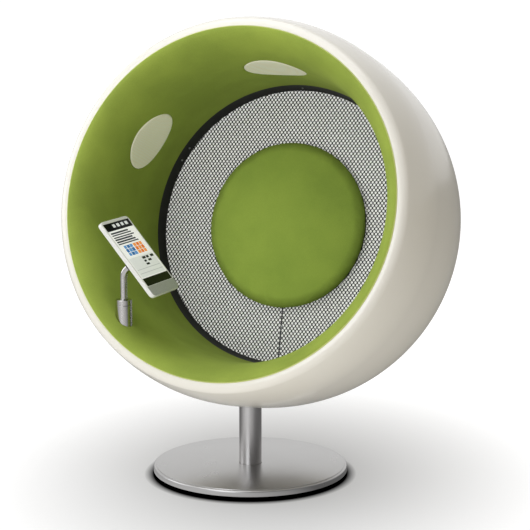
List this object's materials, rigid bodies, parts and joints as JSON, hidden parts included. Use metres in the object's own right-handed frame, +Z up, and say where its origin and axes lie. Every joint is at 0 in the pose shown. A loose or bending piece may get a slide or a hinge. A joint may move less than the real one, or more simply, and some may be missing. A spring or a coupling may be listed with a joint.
{
  "type": "pod chair",
  "caption": "Ball-shaped upholstered lounge chair on a swivel column, with speakers behind its liner and a tablet on a swing arm.",
  "frame": {"origin": "on the floor, on the axis of the swivel column", "axes": "+Z up along the column; the mouth of the pod faces -Y; +X to the right of someone looking into the pod"},
  "size_m": [1.3, 1.0998, 1.5353],
  "materials": {
    "stainless": "brushed",
    "steel": "satin",
    "rubber_pad": "matt",
    "nylon": "satin",
    "plywood": "sawn",
    "gelcoat": "polished gel coat",
    "fibreglass": "laminate",
    "felt": "felted wool",
    "panel_cloth": "plain cloth",
    "cover_cloth": "knitted speaker cloth",
    "black_steel": "satin powder coat",
    "cone_fibre": "pressed fibre",
    "heatsink": "anodised",
    "black_plastic": "moulded",
    "cable": "sheathed",
    "white_plastic": "moulded",
    "display": "lit panel",
    "screen_glass": "polished"
  },
  "bodies": {
    "base": {"base_cover": "stainless", "base_ballast": "steel", "foot_pad": "rubber_pad", "column_tube": "stainless", "base_bolt_1": "steel", "base_bolt_2": "steel", "base_bolt_3": "steel", "lower_bush": "nylon", "upper_bush": "nylon"},
    "pod": {"spindle": "steel", "saddle_plate": "steel", "saddle_bolt_1": "steel", "saddle_bolt_2": "steel", "saddle_bolt_3": "steel", "bottom_block": "plywood", "outer_shell": "gelcoat", "liner_carrier": "fibreglass", "liner_upholstery": "felt", "seat_rib_left": "plywood", "seat_rib_right": "plywood", "back_bulkhead": "plywood", "backing_panel": "panel_cloth", "ring_frame": "black_steel", "ring_screw_1": "steel", "ring_screw_2": "steel", "ring_screw_3": "steel", "grille": "black_steel", "seam_screw_1": "steel", "seam_screw_2": "steel", "pad_board": "plywood", "pad_cushion": "felt", "woofer_basket": "black_steel", "woofer_cone": "cone_fibre", "amplifier": "heatsink", "power_supply": "black_plastic", "speaker_harness": "cable", "power_inlet": "black_plastic", "arm_block": "plywood", "arm_socket": "stainless", "arm_bush": "nylon", "speaker_cover_left": "cover_cloth", "driver_basket_left": "black_steel", "driver_cone_left": "cone_fibre", "speaker_cover_top": "cover_cloth", "driver_basket_top": "black_steel", "driver_cone_top": "cone_fibre", "speaker_cover_right": "cover_cloth", "driver_basket_right": "black_steel", "driver_cone_right": "cone_fibre"},
    "arm": {"arm_tube": "stainless", "arm_collar": "stainless", "set_screw_1": "steel", "set_screw_2": "steel", "tilt_head": "black_plastic", "tilt_pin": "steel"},
    "tablet": {"tablet_bracket": "steel", "tablet_case": "white_plastic", "tablet_display": "display", "tablet_bezel": "white_plastic", "tablet_glass": "screen_glass"}
  },
  "joints": [
    {"name": "pod_swivel", "type": "hinge", "parent": "base", "child": "pod", "pos_m": [0, 0, 0.15], "axis": [0, 0, 1], "continuous": true},
    {"name": "arm_swivel", "type": "hinge", "parent": "pod", "child": "arm", "pos_m": [-0.347, -0.25, 0.56], "axis": [0, 0, 1], "range_deg": [-100, 60]},
    {"name": "tablet_tilt", "type": "hinge", "parent": "arm", "child": "tablet", "pos_m": [-0.30526, -0.25, 0.73727], "axis": [0, 1, 0], "range_deg": [-20, 20]}
  ]
}
